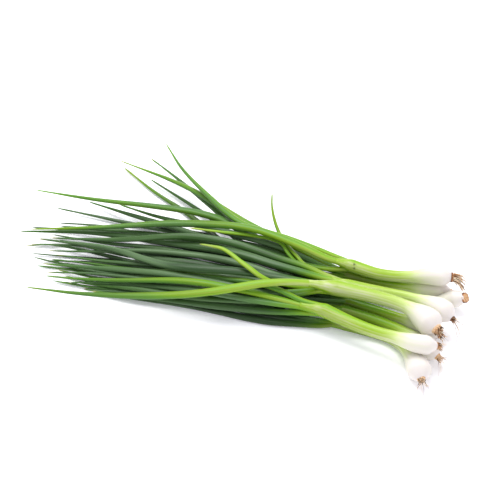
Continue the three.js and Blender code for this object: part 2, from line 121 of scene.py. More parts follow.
# Each onion: the points of its spine from the root plate to the shank's mouth, its radii, how green its
# shank is, and its leaves. A leaf's ripeness runs from 0.5, yellow-green, to 1, blue-green and waxy.
ONIONS = [
    Onion("onion_1", [(180, -2.5, 25.5), (169, -3, 25.5), (152.5, -1, 19.5), (135, 0.5, 14.5), (115, 0, 15),
          (92, 4, 18)],
          8.8, 5.2, 6.0, 1.05, [
        Leaf(3.9, 0.80, [(67, 4, 24), (35, 12, 28), (-9, 20, 30), (-74, 19, 26), (-143, 9, 18),
            (-211, 3, 8)]),
        Leaf(2.9, 0.70, [(70, 12, 20), (20, 20, 24), (-6, 26, 26), (-28, 38, 27), (-83, 94, 26),
            (-116, 142, 22)]),
        Leaf(3.2, 0.90, [(66, -2, 14), (46, 4, 16), (5, 18, 14), (-42, 19, 11), (-172, 58, 5)]),
    ]),
    Onion("onion_2", [(180, -2, 9), (169, -2.4, 9), (153, -1.5, 7), (138, 0, 6), (118, 1, 6), (90, 3, 7)],
          8.4, 4.8, 5.5, 1.35, [
        Leaf(3.6, 0.74, [(60, 12, 12), (5, 26, 22), (-28, 45, 24), (-79, 81, 20), (-160, 123, 8)]),
        Leaf(2.8, 0.76, [(58, 14, 10), (-14, 34, 17), (-49, 61, 17), (-110, 116, 10), (-131, 135, 6)]),
        Leaf(3.9, 0.80, [(56, 8, 14), (0, 25, 20), (-41, 38, 26), (-105, 44, 22), (-160, 51, 14),
            (-227, 62, 7)]),
        Leaf(3.0, 1.00, [(56, 2, 8), (10, 8, 8), (-45, 26, 8), (-120, 34, 6), (-199, 43, 4)]),
        Leaf(3.0, 0.95, [(60, 1, 13), (34, 8, 17), (12, 14, 19), (-14, 20, 20), (-38, 27, 18),
            (-94, 39, 14), (-140, 56, 8)]),
        Leaf(1.7, 0.56, [(63, -6, 13), (50, -6, 18), (37, 5, 21), (27, 17, 22), (21, 26, 24), (16, 35, 28),
            (11, 46, 37), (9, 56, 47)]),
        Leaf(1.3, 0.54, [(63, -6, 11), (50, -5, 16), (37, 2, 19), (28, 12, 21), (19, 16, 23), (7, 17, 26),
            (-11, 16, 29), (-29, 13, 30), (-58, 11, 30)]),
    ]),
    Onion("onion_3", [(192.5, -15.5, 18.5), (186.5, -12, 13), (172.5, -16.8, 8.2), (154, -20, 7),
          (124, -17, 6), (94, -12, 6)],
          7.7, 4.8, 5.5, 1.05, [
        Leaf(2.8, 0.78, [(60, -8, 5), (10, -5, 6), (-29, 27, 6), (-76, 62, 5), (-112, 85, 4),
            (-154, 118, 4)]),
        Leaf(2.6, 0.84, [(62, -8, 8), (18, 0, 10), (-14, 23, 10), (-48, 53, 8), (-86, 80, 6),
            (-123, 105, 4)]),
        Leaf(3.4, 1.00, [(60, -10, 12), (10, -4, 14), (-60, 6, 12), (-150, 14, 8), (-212, 10, 5)]),
        Leaf(3.2, 1.00, [(60, -12, 6), (0, -10, 5), (-80, -2, 4), (-160, -4, 4), (-205, -12, 4)]),
        Leaf(3.2, 1.00, [(62, -14, 10), (10, -8, 10), (-70, 12, 8), (-140, 24, 6), (-190, 22, 4)]),
        Leaf(3.2, 0.95, [(62, -6, 10), (18, 2, 14), (-48, 9, 16), (-124, 12, 12), (-184, 14, 6)]),
    ]),
    Onion("onion_4", [(184, -48, 21), (174, -41, 23), (150, -29, 19), (125, -24, 17), (92, -22, 18)],
          9.8, 5.2, 6.0, 0.85, [
        Leaf(4.0, 0.97, [(57, -20, 24), (35, -20, 27), (11, -15, 27), (-37, -3, 22), (-132, 10, 12),
            (-221, 1, 6)]),
        Leaf(3.6, 1.00, [(60, -26, 18), (30, -26, 22), (0, -20, 22), (-66, -14, 18), (-186, -19, 6)]),
        Leaf(3.3, 1.00, [(60, -30, 14), (0, -30, 14), (-80, -22, 10), (-176, -10, 5), (-210, -16, 4)]),
        Leaf(3.2, 1.00, [(58, -22, 12), (0, -14, 16), (-70, -4, 16), (-130, -2, 10), (-190, 4, 5)]),
        Leaf(3.2, 1.00, [(60, -30, 10), (10, -34, 10), (-60, -30, 8), (-140, -26, 5), (-186, -30, 4)]),
        Leaf(3.3, 0.93, [(68, -14, 20), (51, -10, 24), (34, -8, 25), (10, -3, 26), (-14, 2, 26),
            (-50, 4, 22), (-112, -1, 14), (-189, -2, 6)]),
    ]),
    Onion("onion_5", [(173, -71, 27), (163, -60, 28), (144, -45, 25), (118, -37.5, 24.5),
          (84, -34.5, 25.5)],
          11.2, 5.6, 6.9, 0.85, [
        Leaf(3.8, 0.80, [(60, -40, 32), (29, -49, 31), (-13, -63, 27), (-62, -70, 20), (-129, -73, 12),
            (-189, -69, 5)]),
        Leaf(3.4, 0.95, [(62, -39, 23), (50, -43, 22), (34, -45, 21), (10, -50, 20), (-34, -48, 20),
            (-117, -41, 14), (-184, -37, 6)]),
        Leaf(3.2, 1.00, [(62, -42, 20), (50, -48, 18), (30, -51, 16), (-10, -52, 14), (-50, -48, 12),
            (-120, -46, 8), (-170, -40, 4)]),
        Leaf(3.8, 1.00, [(51, -33, 25), (19, -36, 25), (-28, -42, 26), (-71, -36, 22), (-124, -17, 14),
            (-200, -5, 6)]),
        Leaf(1.9, 0.56, [(52, -38, 24), (35, -41, 25), (23, -43, 28), (10, -38, 34), (-5, -29, 37),
            (-20, -18, 37), (-43, -12, 33)]),
    ]),
    Onion("onion_6", [(176, -58, 9), (163, -52, 9), (141, -43, 7), (123, -37, 6), (95, -31, 6)],
          9.0, 4.8, 5.6, 1.65, [
        Leaf(3.2, 1.00, [(60, -30, 6), (0, -34, 6), (-80, -32, 5), (-150, -34, 4), (-196, -28, 4)]),
        Leaf(3.2, 1.00, [(60, -34, 10), (0, -42, 10), (-70, -44, 8), (-130, -38, 5), (-171, -34, 4)]),
        Leaf(3.2, 1.00, [(58, -26, 8), (0, -20, 8), (-70, -14, 6), (-140, -18, 4), (-200, -24, 4)]),
        Leaf(3.4, 1.00, [(60, -28, 12), (0, -26, 16), (-60, -22, 16), (-120, -14, 10), (-180, -2, 5)]),
        Leaf(3.0, 0.95, [(60, -36, 5), (0, -44, 4), (-60, -50, 4), (-120, -50, 4), (-160, -46, 4)]),
    ]),
    Onion("onion_7", [(176, -83, 9), (166, -74, 9), (148, -59, 7), (125, -50, 7), (93, -43, 7)],
          9.2, 5.0, 5.6, 1.50, [
        Leaf(3.1, 0.95, [(60, -48, 6.5), (0, -50, 7), (-60, -52, 5), (-120, -56, 4), (-168, -54, 4)]),
        Leaf(3.4, 1.00, [(60, -50, 10), (0, -52, 12), (-60, -48, 12), (-130, -44, 8), (-178, -46, 4)]),
        Leaf(3.2, 1.00, [(58, -44, 8), (0, -46, 8), (-70, -40, 6), (-140, -34, 4), (-190, -38, 4)]),
        Leaf(3.2, 0.90, [(60, -51, 12), (0, -54, 14), (-60, -56, 10), (-110, -54, 6), (-150, -52, 4)]),
        Leaf(3.4, 1.00, [(60, -44, 12), (0, -38, 18), (-60, -32, 18), (-120, -30, 10), (-176, -22, 5)]),
    ]),
    Onion("onion_8", [(174, -84, 23), (162, -87.5, 25), (152, -86, 24), (141, -80.5, 20), (128, -76, 18.5),
          (104, -68, 18.5), (78, -59, 20.5)],
          8.3, 5.2, 6.4, 1.15, [
        Leaf(3.4, 0.72, [(50, -58, 22), (20, -58, 24), (-13, -58, 22), (-71, -54, 14), (-140, -53, 8),
            (-178, -50, 4)]),
        Leaf(3.2, 0.90, [(50, -57, 17), (10, -56, 15), (-33, -55, 13.5), (-113, -55, 6), (-153, -57, 4)]),
        Leaf(3.2, 0.95, [(50, -58, 12), (10, -54, 10), (-31, -53, 9), (-84, -57, 6), (-138, -60, 4)]),
        Leaf(3.2, 0.84, [(54, -54, 22), (30, -48, 24), (0, -42, 20), (-60, -36, 16), (-130, -30, 8),
            (-180, -30, 4)]),
        Leaf(3.2, 0.95, [(50, -60, 14), (0, -57, 12), (-50, -57, 9), (-90, -61, 6), (-130, -62, 4)]),
    ]),
    Onion("onion_9", [(166, -112, 10), (163, -100, 10), (156, -84, 9), (147, -73, 7), (136, -66, 7),
          (122, -62, 6), (98, -58, 6)],
          10.4, 5.0, 5.8, 1.00, [
        Leaf(3.4, 0.97, [(66, -59, 4), (32, -54, 3), (-23, -53, 3), (-87, -59, 3), (-127, -60, 3)]),
        Leaf(3.3, 1.00, [(66, -57, 7), (20, -53, 7), (-40, -51, 6), (-100, -56, 4), (-140, -56, 4)]),
        Leaf(3.2, 1.00, [(66, -57, 5), (10, -48, 4), (-60, -48, 4), (-120, -54, 4), (-160, -53, 4)]),
        Leaf(3.0, 1.00, [(62, -58, 7), (10, -54, 8), (-50, -54, 8), (-100, -61, 5), (-130, -61, 4)]),
    ]),
]

# The outer sheath follows its own leaf further on some onions, in millimetres past the mouth.
LONG_SHEATHS = {"onion_5": 26.0, "onion_8": 22.0}

# Outer leaves that stay yellow-green for longer, by their place in the onion and how many millimetres past
# the mouth they take to ripen.
SLOW_LEAVES = {
    ("onion_1", 0): 180.0, ("onion_1", 1): 180.0, ("onion_2", 0): 190.0, ("onion_2", 1): 170.0,
    ("onion_5", 0): 250.0, ("onion_8", 0): 190.0,
}

# Healed nicks in the skin: millimetres up the onion, degrees round it, and half sizes in millimetres.
Nick = namedtuple("Nick", "onion along turn length width")
SKIN_NICKS = [Nick("onion_1", 88, 118, 1.7, 1.3), Nick("onion_1", 87, 152, 1.5, 1.2)]

# What would dip under the floor lies flat on it, this far above it.
FLOOR_CLEARANCE = 0.05

# Radius at which a bulb's rounded end meets its root plate.
ROOT_NECK = 2.8

# Trimmed roots, onion by onion: radius of the plate, cut stubs and their least and greatest length, trailing
# hairs and theirs, how far they droop, their age from fresh to dead, the share of dead ones, how dark the
# plate's rim is, and how far the plate leans to the front and up.
RootTuft = namedtuple("RootTuft", "plate stubs stub hairs hair droop tone dark rim lean")
ROOT_TUFTS = [
    RootTuft(4.6, 52, (4.0, 12.0), 24, (8.0, 19.0), 0.7, 0.3, 0.28, 0.5, 0.0),
    RootTuft(3.0, 12, (1.0, 2.5), 5, (3.0, 8.0), 0.5, 0.35, 0.2, 0.1, 0.0),
    RootTuft(4.6, 10, (0.2, 0.7), 4, (3.0, 8.0), 0.5, 0.46, 0.1, 0.5, 0.85),
    RootTuft(3.0, 18, (1.0, 2.4), 16, (6.0, 18.0), 0.5, 0.58, 0.5, 0.5, 0.0),
    RootTuft(4.8, 64, (0.8, 2.8), 12, (4.0, 9.0), 0.2, 0.28, 0.46, 0.0, 0.1),
    RootTuft(3.2, 14, (1.5, 3.5), 6, (3.0, 8.0), 0.3, 0.42, 0.3, 0.2, 0.0),
    RootTuft(3.2, 18, (2.0, 5.0), 12, (6.0, 13.0), 0.2, 0.36, 0.3, 0.2, 0.0),
    RootTuft(3.2, 24, (2.0, 5.0), 10, (4.0, 8.0), 0.4, 0.36, 0.35, 0.2, 0.0),
    RootTuft(3.6, 34, (0.6, 1.8), 18, (4.0, 11.0), 0.2, 0.3, 0.5, 0.2, 0.2),
]


# Routes

def unit(vector):
    return vector / np.linalg.norm(vector)


def axes_across(ahead):
    """Unit vectors sideways and up, square to a direction."""
    side = unit(np.cross(ahead, [0, 0, 1]))
    return side, np.cross(side, ahead)


def eased(share):
    """A share from 0 to 1 that sets in and ends gently."""
    return share * share * (3 - 2 * share)


class Route:
    """A smooth curve through points, read by even distances along it."""

    SAMPLES_A_SPAN = 20

    def __init__(self, through):
        points = np.asarray(through, float)
        self.points = np.vstack([2 * points[0] - points[1], points, 2 * points[-1] - points[-2]])
        self.spans = len(points) - 1
        count = self.SAMPLES_A_SPAN * self.spans
        self.shares = np.linspace(0, 1, count + 1)
        steps = np.linalg.norm(np.diff(self._curve(self.shares), axis=0), axis=1)
        self.reached = np.concatenate([[0], np.cumsum(steps)])
        self.length = self.reached[-1]

    def _curve(self, shares):
        along = np.clip(shares, 0, 1) * self.spans
        span = np.minimum(along.astype(int), self.spans - 1)
        t = (along - span)[:, None]
        before, start, end, after = (self.points[span + k] for k in range(4))
        leave = 0.5 * (end - before)
        arrive = 0.5 * (after - start)
        return (start + leave * t + (3 * (end - start) - 2 * leave - arrive) * t ** 2
                + (2 * (start - end) + leave + arrive) * t ** 3)

    def at(self, distances):
        return self._curve(np.interp(distances, self.reached, self.shares))

    def even(self, count):
        return self.at(np.linspace(0, self.length, count))


def spine_radius(along, length, onion, plate=PLATE_RADIUS):
    """Half width of bulb and shank at distances from the root plate."""
    along = np.asarray(along, float)
    rise = plate + (onion.bulb - plate) * np.sin(np.clip(along / BULB_WIDEST_AT, 0, 1) * np.pi / 2)
    fall_share = (along - BULB_WIDEST_AT) / (BULB_ENDS_AT - BULB_WIDEST_AT)
    fall = onion.shank + (onion.bulb - onion.shank) * 0.5 * (1 + np.cos(fall_share * np.pi))
    flare_share = np.clip((along - BULB_ENDS_AT) / (length - BULB_ENDS_AT), 0, 1)
    flare = onion.shank + (onion.mouth - onion.shank) * flare_share ** 2
    return np.where(along < BULB_WIDEST_AT, rise, np.where(along < BULB_ENDS_AT, fall, flare))


def leaf_radius(share, widest):
    """Half width of a leaf at shares of its length from the mouth."""
    share = np.asarray(share, float)
    opening = LEAF_BASE_SHARE + (1 - LEAF_BASE_SHARE) * np.clip(share / LEAF_WIDENS_UNTIL, 0, 1)
    run = np.clip((share - LEAF_TAPERS_FROM) / (1 - LEAF_TAPERS_FROM), 0, 1)
    power = THIN_LEAF_TAPER_POWER if widest < THIN_LEAF_RADIUS else LEAF_TAPER_POWER
    return np.maximum(LEAF_TIP_RADIUS, widest * opening * (1 - run ** power))


# Laying and settling

Rod = namedtuple("Rod", "onion leaf points radii")


def lay_rods():
    """Every rod as it is first laid: one spine for each onion, then its leaves."""
    spines, leaves = [], []
    for number, onion in enumerate(ONIONS):
        route = Route(onion.spine)
        points = route.even(SPINE_POINTS)
        radii = spine_radius(np.linspace(0, route.length, SPINE_POINTS), route.length, onion)
        root_end = points[0] + unit(points[0] - points[1]) * ROOT_ZONE
        radii = np.concatenate([[PLATE_RADIUS], radii])
        spines.append(Rod(number, None, np.vstack([root_end, points]), radii))
    for number, onion in enumerate(ONIONS):
        for place, leaf in enumerate(onion.leaves):
            route = Route([spines[number].points[-1], *leaf.via])
            step = THIN_LEAF_STEP if leaf.half_width < THIN_LEAF_RADIUS else LEAF_STEP
            count = round(route.length / step) + 1
            radii = leaf_radius(np.linspace(0, 1, count), leaf.half_width)
            leaves.append(Rod(number, place, route.even(count), radii))
    return spines + leaves


def closest_shares(a0, a1, b0, b1):
    """Shares along two sets of stretches where each pair comes closest, drawn a little to the middles."""
    u, v, w = a1 - a0, b1 - b0, a0 - b0
    uu, vv, uv = (u * u).sum(1), (v * v).sum(1), (u * v).sum(1)
    uw = (u * w).sum(1) - uu * MIDDLE_PULL / 2
    vw = (v * w).sum(1) + vv * MIDDLE_PULL / 2
    uu_pulled, vv_pulled = uu * (1 + MIDDLE_PULL), vv * (1 + MIDDLE_PULL)
    s = np.clip((uv * vw - uw * vv_pulled) / (uu_pulled * vv_pulled - uv * uv), 0, 1)
    t = np.clip((uv * s + vw) / vv_pulled, 0, 1)
    s = np.clip((uv * t - uw) / uu_pulled, 0, 1)
    return s, t


@functools.lru_cache(maxsize=1)
def settled_rods():
    """The rods after the settling loop has pressed apart whatever crosses."""
    rods = lay_rods()
    starts = np.cumsum([0] + [len(rod.points) for rod in rods])
    point = np.vstack([rod.points for rod in rods])
    home = point - [0, 0, DROP]
    radius = np.concatenate([rod.radii for rod in rods])
    is_leaf = np.concatenate([np.full(len(rod.points), rod.leaf is not None) for rod in rods])
    weight = np.where(is_leaf, 1.0, SPINE_WEIGHT)
    floor = np.where(is_leaf, radius * LEAF_FLATNESS - LEAF_SINK, radius - BULB_SINK)
    stretches = [(starts[n] + k, n, k) for n, rod in enumerate(rods) for k in range(len(rod.points) - 1)]
    first, rod_of, index = (np.array(column) for column in zip(*stretches))
    middle = np.concatenate([np.arange(starts[n] + 1, starts[n + 1] - 1) for n in range(len(rods))])
    length = np.linalg.norm(point[first + 1] - point[first], axis=1)
    reach = length / 2 + np.maximum(radius[first], radius[first + 1]) + REACH_MARGIN
    bow = (point[middle - 1] + point[middle + 1]) / 2 - point[middle]
    bow[:, 2] *= SAG_KEPT
    onion_of = np.array([rod.onion for rod in rods])[rod_of]
    on_spine = np.array([rod.leaf is None for rod in rods])[rod_of]
    at_mouth = (index < NEAR_MOUTH) | on_spine
    left, right = np.triu_indices(len(first), 1)
    may_touch = (rod_of[left] != rod_of[right]) & ~(
        (onion_of[left] == onion_of[right]) & (at_mouth[left] | at_mouth[right]))
    left, right = left[may_touch], right[may_touch]
    leaf_starts = starts[len(ONIONS):-1]
    mouths = starts[np.array([rod.onion for rod in rods[len(ONIONS):]]) + 1] - 1
    for turn in range(ROUNDS):
        point = point + (home - point) * HOMING
        push = np.zeros_like(point)
        step = (point[middle - 1] + point[middle + 1]) / 2 - point[middle] - bow
        np.add.at(push, middle, step * STIFFNESS)
        np.add.at(push, middle - 1, -step * STIFFNESS / 2)
        np.add.at(push, middle + 1, -step * STIFFNESS / 2)
        point = point + push * EASE
        push = np.zeros_like(point)
        step = point[first + 1] - point[first]
        now = np.linalg.norm(step, axis=1)
        step = step * ((now - length) / now / 2 * LENGTH_HELD)[:, None]
        np.add.at(push, first, step)
        np.add.at(push, first + 1, -step)
        point = point + push * EASE
        if turn % PAIRS_EVERY == 0:
            centre = (point[first] + point[first + 1]) / 2
            near = np.linalg.norm(centre[left] - centre[right], axis=1) < reach[left] + reach[right]
            a, b = first[left[near]], first[right[near]]
        s, t = closest_shares(point[a], point[a + 1], point[b], point[b + 1])
        on_a = point[a] + (point[a + 1] - point[a]) * s[:, None]
        step = point[b] + (point[b + 1] - point[b]) * t[:, None] - on_a
        apart = np.linalg.norm(step, axis=1) + HAIRBREADTH
        wanted = radius[a] * (1 - s) + radius[a + 1] * s + radius[b] * (1 - t) + radius[b + 1] * t + AIR_GAP
        touching = np.nonzero(apart < wanted)[0]
        scale = OVERLAP_PUSH * (wanted - apart) / apart / (weight[a] + weight[b])
        push, hits = np.zeros_like(point), np.zeros(len(point))
        for node, share, way in ((a, 1 - s, -weight[a]), (a + 1, s, -weight[a]),
                                 (b, 1 - t, weight[b]), (b + 1, t, weight[b])):
            np.add.at(push, node[touching], (step * (scale * share * way)[:, None])[touching])
            np.add.at(hits, node[touching], share[touching])
        point = point + push / np.maximum(1, hits)[:, None]
        point[:, 2] = np.maximum(point[:, 2], floor)
        point[leaf_starts] = point[mouths]
    point = point + ORIGIN_SHIFT
    return [rod._replace(points=point[starts[n]:starts[n + 1]]) for n, rod in enumerate(rods)]


def spine_route(number):
    return Route(settled_rods()[number].points[1:])


def leaf_rods(number):
    return [rod for rod in settled_rods()[len(ONIONS):] if rod.onion == number]


# Tubes

# How far apart in the skin's patterns tubes of one mesh lie, in millimetres for each vertex before them.
PATTERN_SHIFT = 0.37


def frames_along(points, roll):
    """Unit vectors across and up from each point of a route, turned by a roll in radians."""
    ahead = np.gradient(points, axis=0)
    ahead /= np.linalg.norm(ahead, axis=1)[:, None]
    up = np.array([0.0, 0.0, 1.0])
    ups = []
    for direction in ahead:
        up = unit(up - direction * (up @ direction))
        ups.append(up)
    ups = np.array(ups)
    sides = np.cross(ahead, ups)
    roll = np.broadcast_to(roll, len(points))[:, None]
    return sides * np.cos(roll) + ups * np.sin(roll), ups * np.cos(roll) - sides * np.sin(roll)


def add_tube(mesh, points, section, sides, roll, traits):
    """Bends a closed cylinder along points. section gives a ring's outline, and traits its attributes."""
    stations = len(points)
    before = len(mesh.verts)
    bmesh.ops.create_cone(mesh, cap_ends=True, segments=sides, radius1=1, radius2=1, depth=1)
    mesh.verts.ensure_lookup_table()
    fresh = set(mesh.verts[before:])
    upright = [edge for vert in fresh for edge in vert.link_edges
               if vert.co.z < 0 < edge.other_vert(vert).co.z]
    bmesh.ops.subdivide_edges(mesh, edges=upright, cuts=stations - 2, use_grid_fill=True)
    mesh.verts.ensure_lookup_table()
    across, up = frames_along(points, roll)
    numbers, vectors = mesh.verts.layers.float, mesh.verts.layers.float_vector
    layers = {name: numbers.get(name) or numbers.new(name) for name in traits}
    straight = vectors.get("straight") or vectors.new("straight")
    steps = np.linalg.norm(np.diff(points, axis=0), axis=1)
    run = np.concatenate([[0], np.cumsum(steps)])
    offset = before * PATTERN_SHIFT
    for vert in mesh.verts[before:]:
        ring = round((vert.co.z + 0.5) * (stations - 1))
        angle = math.atan2(vert.co.y, vert.co.x)
        x, y = section(ring, angle)
        vert[straight] = Vector((x + offset, y, run[ring])) * MM
        for name, layer in layers.items():
            trait = traits[name]
            vert[layer] = trait(ring, angle) if callable(trait) else trait[ring]
        place = points[ring] + across[ring] * x + up[ring] * y
        vert.co = Vector((place[0], place[1], max(place[2], FLOOR_CLEARANCE))) * MM


def finish_piece(mesh, node, material):
    """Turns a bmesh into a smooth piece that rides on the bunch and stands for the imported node."""
    name = f"{node}_grown"
    bmesh.ops.recalc_face_normals(mesh, faces=mesh.faces)
    data = bpy.data.meshes.new(name)
    mesh.to_mesh(data)
    mesh.free()
    data.shade_smooth()
    data.materials.append(material)
    piece = bpy.data.objects.new(name, data)
    bpy.context.scene.collection.objects.link(piece)
    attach(piece, BODY)
    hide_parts(node)


# Materials

def linear(hex_colour):
    """Turns an sRGB hex colour into the linear colour that a shader takes."""
    channels = [int(hex_colour[k:k + 2], 16) / 255 for k in (1, 3, 5)]
    return (*(c / 12.92 if c <= 0.04045 else ((c + 0.055) / 1.055) ** 2.4 for c in channels), 1.0)


def add_node(tree, kind, settings=None, **links):
    """Adds a node with its settings, and links sockets or other nodes' first outputs to it."""
    node = tree.nodes.new("ShaderNode" + kind)
    for key, value in (settings or {}).items():
        if isinstance(key, str) and hasattr(node, key):
            setattr(node, key, value)
        else:
            node.inputs[key].default_value = value
    for key, source in links.items():
        socket = node.inputs[int(key[1:])] if key[0] == "_" else node.inputs[key.replace("_", " ")]
        tree.links.new(source.outputs[0] if isinstance(source, bpy.types.Node) else source, socket)
    return node


def new_material(name):
    """An empty material, and what adds a node to it."""
    material = bpy.data.materials.new(name)
    material.use_nodes = True
    material.node_tree.nodes.clear()
    return material, functools.partial(add_node, material.node_tree)


def fill_ramp(node, stops):
    ramp = node.color_ramp
    while len(ramp.elements) > 1:
        ramp.elements.remove(ramp.elements[-1])
    ramp.elements[0].position, ramp.elements[0].color = stops[0][0], linear(stops[0][1])
    for position, colour in stops[1:]:
        ramp.elements.new(position).color = linear(colour)
    return node.outputs["Color"]


# Onion skin runs from the white of the bulb through the pale and yellow greens of the shank and the leaf
# bases to the blue-green of a ripe leaf.
GREENING = [
    (0.00, "#e1dad5"), (0.12, "#d3d8ad"), (0.22, "#bacb7c"), (0.34, "#97b23c"), (0.48, "#7ca416"),
    (0.62, "#608e20"), (0.78, "#426e23"), (1.00, "#20421c"),
]

# Patterns of the skin: size of their features across and along the plant in metres, and finer octaves.
# Veins lie 1 to 2 mm apart. Streaks 5 mm wide carry cream into the green, and bloom is rubbed off along
# them. The gloss changes in cloudy patches 7 mm across and 40 mm long.
VEINS = (0.0016, 0.07, 2.0)
STREAKS = (0.0055, 0.11, 1.0)
PATCHES = (0.007, 0.04, 3.0)
STREAKS_END = 1.1
GLOSS_CHANGE = 0.07

# Dry root tissue, from fresh and pale to dead. Its specks are about a millimetre across.
ROOT_AGEING = [(0.0, "#f3e7cd"), (0.35, "#dab488"), (0.6, "#a9754e"), (0.8, "#6b4322"), (1.0, "#2e1a0e")]
SPECKS_A_METRE = 900.0
SPECK_CONTRAST = 0.7


def grown_skin(name, roughness, subsurface, look):
    """Fresh onion skin: veins and cream streaks run up the plant under a satin surface with a waxy bloom."""
    material, add = new_material(name)
    straight = add("Attribute", {"attribute_name": "straight"}).outputs["Vector"]
    greening, dryness, scar, shelter = (
        add("Attribute", {"attribute_name": trait}).outputs["Fac"]
        for trait in ("greening", "dryness", "scar", "shelter"))

    def along_plant(across, along, detail):
        """Noise drawn out along the plant."""
        space = add("Mapping", {"Scale": (1 / across, 1 / across, 1 / along)}, Vector=straight)
        return add("TexNoise", {"Scale": 1.0, "Detail": detail}, Vector=space).outputs["Fac"]

    veins, streaks, patches = along_plant(*VEINS), along_plant(*STREAKS), along_plant(*PATCHES)
    broad = add("MapRange", {"From Min": 0.36, "From Max": 0.64, "To Min": -1.0, "To Max": 1.0},
                Value=streaks)
    fine = add("MapRange", {"From Min": 0.3, "From Max": 0.7, "To Min": -0.8, "To Max": 0.8}, Value=veins)
    wander = add("Math", {"operation": "ADD"}, _0=broad, _1=fine)
    # The streaks show where the skin is turning green, and fade on the white bulb and on ripe leaves.
    still_pale = add("Math", {"operation": "SUBTRACT", 0: STREAKS_END}, _1=greening)
    reach = add("Math", {"operation": "MULTIPLY"}, _0=greening, _1=still_pale)
    reach = add("Math", {"operation": "MULTIPLY", 1: look.streaks}, _0=reach)
    turned = add("Math", {"operation": "MULTIPLY_ADD"}, _0=wander, _1=reach, _2=greening)
    base = fill_ramp(add("ValToRGB", Fac=turned), GREENING)
    depth = add("Math", {"operation": "MULTIPLY", 1: look.vein_depth}, _0=greening)
    # Painted shade: leaves and shanks low in the heap are painted darker, and with less bloom, for the shade
    # that falls between them.
    deep = add("Math", {"operation": "MULTIPLY_ADD", 1: -look.painted_heap_shade_strength, 2: 1.0}, _0=shelter)
    shade = add("Math", {"operation": "MULTIPLY_ADD"}, _0=wander, _1=depth, _2=deep)
    veined_and_painted_shade = add("VectorMath", {"operation": "SCALE"}, _0=base, Scale=shade)
    ripe = add("MapRange", {"From Min": 0.6, "From Max": 1.0, "To Min": 0.0, "To Max": look.bloom},
               Value=greening)
    rubbed = add("MapRange", {"From Min": 0.4, "From Max": 0.6, "To Min": 0.15, "To Max": 0.85},
                 Value=streaks)
    bloom_share = add("Math", {"operation": "MULTIPLY"}, _0=ripe, _1=rubbed)
    # The painted heap shade also takes bloom away.
    bloom_share = add("Math", {"operation": "MULTIPLY"}, _0=bloom_share, _1=deep)
    skin = veined_and_painted_shade
    for colour, share in ((look.bloom_colour, bloom_share), (look.dry_colour, dryness),
                          (look.scar_colour, scar)):
        mix = add("Mix", {"data_type": "RGBA", 7: linear(colour)}, _0=share, _6=skin)
        skin = mix.outputs[2]
    raised = add("Math", {"operation": "MULTIPLY"}, _0=veins, _1=greening)
    bump = add("Bump", {"Strength": 0.6, "Distance": 0.0005}, Height=raised)
    gloss = add("MapRange", {"To Min": roughness - GLOSS_CHANGE, "To Max": roughness + GLOSS_CHANGE},
                Value=patches)
    shader = add("BsdfPrincipled", {
        "IOR": 1.42, "Subsurface Weight": subsurface, "Subsurface Scale": 0.0015,
        "Subsurface Radius": (1.0, 0.95, 0.7), "Sheen Weight": look.sheen, "Sheen Roughness": 0.5,
        "Specular IOR Level": look.shine,
    }, Base_Color=skin, Roughness=gloss, Normal=bump)
    add("OutputMaterial", Surface=shader)
    return material


def dry_root(name):
    """Dry root tissue: dull, fibrous and tan, speckled dark where roots were trimmed."""
    material, add = new_material(name)
    place = add("TexCoord").outputs["Object"]
    age = add("Attribute", {"attribute_name": "age"}).outputs["Fac"]
    specks = add("TexNoise", {"Scale": SPECKS_A_METRE, "Detail": 3.0}, Vector=place).outputs["Fac"]
    aged = add("Math", {"operation": "MULTIPLY_ADD", 1: SPECK_CONTRAST, 2: -SPECK_CONTRAST / 2}, _0=specks)
    total = add("Math", {"operation": "ADD", "use_clamp": True}, _0=aged, _1=age)
    colour = fill_ramp(add("ValToRGB", Fac=total), ROOT_AGEING)
    bump = add("Bump", {"Strength": 0.5, "Distance": 0.0003}, Height=specks)
    shader = add("BsdfPrincipled", {"Roughness": 0.85, "IOR": 1.4}, Base_Color=colour, Normal=bump)
    add("OutputMaterial", Surface=shader)
    return material


# Settings

def share_setting(name, description, default):
    return bpy.props.FloatProperty(name=name, description=description, default=default, min=0, max=1)


def colour_setting(name, place, default):
    return bpy.props.StringProperty(name=name, description="sRGB hex colour of " + place, default=default)


def count_setting(name, description, default, least):
    return bpy.props.IntProperty(name=name, description=description, default=default, min=least)


def length_setting(name, description, default):
    return bpy.props.FloatProperty(name=name, description=description, default=default, min=0, unit="LENGTH")


def angle_setting(name, description, degrees):
    return bpy.props.FloatProperty(name=name, description=description, default=math.radians(degrees),
                                   subtype="ANGLE")


class OnionLook(bpy.types.PropertyGroup):
    """Finish of the onions."""

    bloom_colour: colour_setting("Bloom colour", "the waxy bloom on ripe leaves", "#86a072")
    bloom: share_setting("Bloom", "How much bloom ripe leaves carry", 0.4)
    streaks: share_setting("Streaks", "How far streaks change the greening", 0.46)
    vein_depth: share_setting("Vein depth", "How much darker and lighter veins are", 0.36)
    # Strength of the painted shade on leaves and shanks low in the heap.
    painted_heap_shade_strength: share_setting("Heap depth", "How much darker leaves deep in the heap are", 0.5)
    scar_colour: colour_setting("Scars", "healed nicks in the skin", "#2b3714")
    dry_colour: colour_setting("Dry tips", "dried leaf tips", "#c8bb84")
    sheen: share_setting("Sheen", "Strength of the soft sheen of wax", 0.02)
    shine: share_setting("Shine", "Strength of reflections, 0.5 for bare plant skin", 0.3)
    leaf_roughness: share_setting("Leaf roughness", "Roughness of the leaves", 0.36)
    bulb_roughness: share_setting("Bulb roughness", "Roughness of the moist bulb skin", 0.3)


